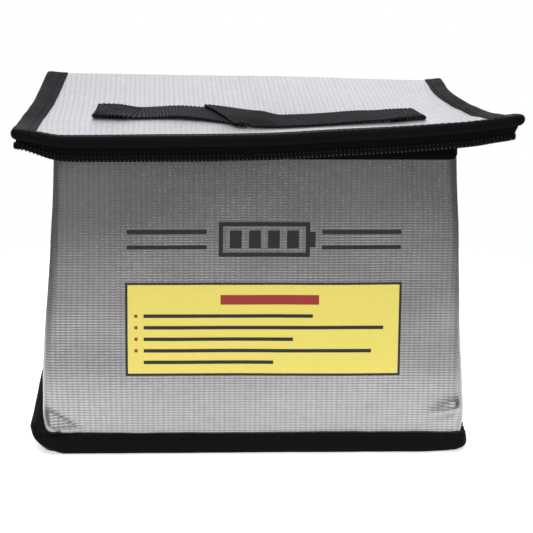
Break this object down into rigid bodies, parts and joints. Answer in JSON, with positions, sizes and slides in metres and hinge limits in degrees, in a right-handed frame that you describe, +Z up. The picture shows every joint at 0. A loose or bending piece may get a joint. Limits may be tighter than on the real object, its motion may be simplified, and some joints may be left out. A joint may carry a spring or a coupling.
{
  "type": "fire-resistant battery storage bag",
  "caption": "Soft box-shaped fire-resistant bag for charging and storing battery packs, with a hinged zip lid, bound edges and a flat webbing handle.",
  "frame": {"origin": "centre of the base, on the ground plane the bag stands on", "axes": "+X to the bag's right as seen from behind its printed front, +Y to the rear fold of the lid, +Z up"},
  "size_m": [0.2458, 0.1605, 0.1689],
  "materials": {
    "outer_cloth": "silver coated woven glass cloth, semi-gloss",
    "felt": "soft needled felt",
    "lining": "plain woven glass cloth, matt",
    "binding": "woven polyester tape, matt",
    "zip_tape": "knitted zip tape, matt",
    "zip_coil": "nylon coil, satin",
    "thread": "polyester thread",
    "webbing": "ribbed polypropylene webbing",
    "slider_metal": "black enamel",
    "label_print": "printed film, satin",
    "mark_print": "printed film, satin"
  },
  "bodies": {
    "bag": {"base_panel": "outer_cloth", "front_panel": "outer_cloth", "back_panel": "outer_cloth", "left_side_panel": "outer_cloth", "right_side_panel": "outer_cloth", "base_pad": "felt", "front_felt": "felt", "back_felt": "felt", "left_side_felt": "felt", "right_side_felt": "felt", "base_lining": "lining", "front_lining": "lining", "back_lining": "lining", "left_side_lining": "lining", "right_side_lining": "lining", "corner_seam_tapes": "binding", "base_binding": "binding", "base_binding_thread": "thread", "rim_binding": "binding", "rim_binding_thread": "thread", "body_zip_tape": "zip_tape", "body_zip_coil": "zip_coil", "body_zip_stops": "slider_metal", "front_label": "label_print", "front_mark": "mark_print", "hinge_fold": "outer_cloth"},
    "lid": {"lid_panel": "outer_cloth", "lid_felt": "felt", "lid_lining": "lining", "lid_binding": "binding", "lid_binding_thread": "thread", "lid_zip_tape": "zip_tape", "lid_zip_coil": "zip_coil", "lid_zip_stops": "slider_metal", "handle_left_end": "webbing", "handle_right_end": "webbing", "handle_stitches": "thread"},
    "handle": {"handle_strap": "webbing"},
    "left_slider": {"left_slider": "slider_metal"},
    "left_pull": {"left_pull": "slider_metal"},
    "right_slider": {"right_slider": "slider_metal"},
    "right_pull": {"right_pull": "slider_metal"}
  },
  "joints": [
    {"name": "lid_hinge", "type": "hinge", "parent": "bag", "child": "lid", "pos_m": [0, 0.0686, 0.167], "axis": [-1, 0, 0], "range_deg": [0, 240]},
    {"name": "handle_lift", "type": "slide", "parent": "lid", "child": "handle", "axis": [0, 0, 1], "range_m": [0, 0.035]},
    {"name": "left_slider_run", "type": "slide", "parent": "bag", "child": "left_slider", "axis": [0, -1, 0], "range_m": [0, 0.1]},
    {"name": "right_slider_run", "type": "slide", "parent": "bag", "child": "right_slider", "axis": [0, -1, 0], "range_m": [0, 0.1]},
    {"name": "left_pull_swing", "type": "hinge", "parent": "left_slider", "child": "left_pull", "pos_m": [-0.10445, 0.0511, 0.15815], "axis": [1, 0, 0], "range_deg": [-50, 50]},
    {"name": "right_pull_swing", "type": "hinge", "parent": "right_slider", "child": "right_pull", "pos_m": [0.10445, 0.0511, 0.15815], "axis": [1, 0, 0], "range_deg": [-50, 50]}
  ]
}
